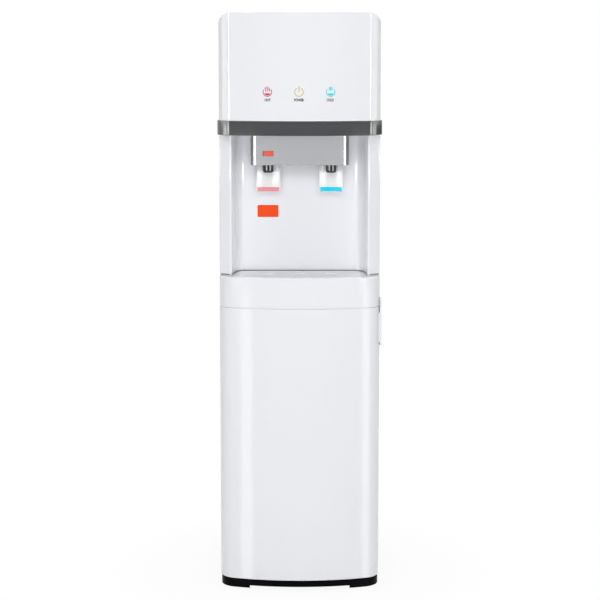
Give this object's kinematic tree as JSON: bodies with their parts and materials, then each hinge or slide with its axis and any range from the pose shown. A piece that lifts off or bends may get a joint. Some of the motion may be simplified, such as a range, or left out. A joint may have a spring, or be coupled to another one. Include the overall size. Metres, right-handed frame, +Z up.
{
  "type": "bottom load water cooler",
  "caption": "Free-standing cooler with a bottle compartment behind a hinged door, hot and cold lever taps in an alcove over a lift-out drip tray, and a moulded head.",
  "frame": {"origin": "on the floor, under the middle of the bounding box", "axes": "+X to the right as seen from the front, +Y to the back (the door and taps face -Y), +Z up"},
  "size_m": [0.312, 0.36, 1.1],
  "materials": {
    "white_cover": "smooth gloss white ABS with a slightly cool tone",
    "white_steel": "white powder-coated steel sheet",
    "trim_grey": "dark grey satin-gloss ABS",
    "steel_plate": "stainless sheet, finely brushed across its width",
    "housing_grey": "dark grey moulded plastic",
    "nozzle_black": "black plated, mirror-like",
    "lever_frost": "frosted translucent white",
    "strip_hot": "translucent pink-red, slightly glossy",
    "strip_cold": "translucent cyan, slightly glossy",
    "button_orange": "orange-red moulded plastic",
    "tray_white": "light grey-white moulded plastic, fine satin",
    "plinth_black": "black moulded plastic, fine texture",
    "rubber_black": "black rubber",
    "liner_white": "vacuum-formed white polystyrene",
    "zinc_sheet": "galvanised steel sheet",
    "stainless": "drawn stainless steel",
    "mica_brown": "mica heater band in a steel wrap",
    "copper": "drawn copper tube",
    "enamel_black": "black enamel",
    "foam_white": "expanded polystyrene foam",
    "silicone": "translucent silicone hose",
    "spring_steel": "drawn spring steel wire",
    "board_green": "solder-masked circuit board with clear lamps",
    "probe_blue": "food-grade polypropylene, pale blue-white",
    "switch_black": "black moulded plastic",
    "rocker_red": "red translucent rocker",
    "rocker_green": "green translucent rocker",
    "acetal_white": "white acetal bearing plastic",
    "magnet_grey": "dark ferrite magnet in a moulded holder"
  },
  "bodies": {
    "cabinet": {"base_plinth": "plinth_black", "corner_feet": "rubber_black", "side_panel_left": "white_steel", "side_panel_right": "white_steel", "rear_panel": "zinc_sheet", "mid_shelf": "zinc_sheet", "tank_shelf": "zinc_sheet", "top_cover": "white_cover", "head_cover": "white_cover", "trim_band": "trim_grey", "dispensing_panel": "white_cover", "tray_surround": "white_cover", "faucet_plate": "steel_plate", "faucet_housing": "housing_grey", "hot_tap_body": "acetal_white", "cold_tap_body": "acetal_white", "tap_nozzles": "nozzle_black", "tap_nuts": "acetal_white", "lever_pins": "spring_steel", "return_springs": "spring_steel", "door_strike": "zinc_sheet", "door_hinges": "zinc_sheet", "hot_tank": "stainless", "heater_band": "mica_brown", "cold_tank": "stainless", "evaporator_coil": "copper", "tank_insulation": "foam_white", "tank_hoses": "silicone", "water_pump": "enamel_black", "supply_hose": "silicone", "suction_probe": "probe_blue", "suction_hose": "silicone", "probe_holder": "liner_white", "drain_pipe": "silicone", "compressor": "enamel_black", "compressor_grommets": "rubber_black", "refrigerant_line": "copper", "condenser": "enamel_black", "condenser_brackets": "rubber_black", "filter_dryer": "copper", "wall_spacers": "rubber_black", "indicator_board": "board_green", "control_box": "liner_white", "switch_bezels": "switch_black", "mains_gland": "rubber_black"},
    "door": {"door_outer": "white_cover", "door_liner": "liner_white", "door_handle": "white_cover", "door_magnet": "magnet_grey", "door_bushes": "acetal_white"},
    "hot_lever": {"hot_lever": "lever_frost", "hot_lever_strip": "strip_hot"},
    "cold_lever": {"cold_lever": "lever_frost", "cold_lever_strip": "strip_cold"},
    "child_lock": {"child_lock_button": "button_orange"},
    "drip_tray": {"drip_tray": "tray_white"},
    "drip_grille": {"drip_grille": "tray_white"},
    "heating_rocker": {"heating_switch": "rocker_red"},
    "cooling_rocker": {"cooling_switch": "rocker_green"},
    "drain_cap": {"drain_cap": "plinth_black"}
  },
  "joints": [
    {"name": "door_hinge", "type": "hinge", "parent": "cabinet", "child": "door", "pos_m": [-0.145, -0.121, 0.283], "axis": [0, 0, -1], "range_deg": [0, 105]},
    {"name": "hot_lever_pivot", "type": "hinge", "parent": "cabinet", "child": "hot_lever", "pos_m": [-0.06, -0.08, 0.823], "axis": [1, 0, 0], "range_deg": [0, 13], "stiffness_Nm_per_rad": 0.05, "springref_deg": -5.73},
    {"name": "cold_lever_pivot", "type": "hinge", "parent": "cabinet", "child": "cold_lever", "pos_m": [0.06, -0.08, 0.823], "axis": [1, 0, 0], "range_deg": [0, 13], "stiffness_Nm_per_rad": 0.05, "springref_deg": -5.73},
    {"name": "child_lock_press", "type": "slide", "parent": "cabinet", "child": "child_lock", "axis": [0, 1, 0], "range_m": [0, 0.003], "stiffness_N_per_m": 100},
    {"name": "tray_lift", "type": "slide", "parent": "cabinet", "child": "drip_tray", "axis": [0, 0, 1], "range_m": [0, 0.06]},
    {"name": "grille_lift", "type": "slide", "parent": "drip_tray", "child": "drip_grille", "axis": [0, 0, 1], "range_m": [0, 0.04]},
    {"name": "heating_rocker_tilt", "type": "hinge", "parent": "cabinet", "child": "heating_rocker", "pos_m": [-0.115, 0.151, 1], "axis": [-1, 0, 0], "range_deg": [0, 16]},
    {"name": "cooling_rocker_tilt", "type": "hinge", "parent": "cabinet", "child": "cooling_rocker", "pos_m": [-0.08, 0.151, 1], "axis": [-1, 0, 0], "range_deg": [0, 16]},
    {"name": "drain_cap_pull", "type": "slide", "parent": "cabinet", "child": "drain_cap", "axis": [0, 1, 0], "range_m": [0, 0.02]}
  ]
}
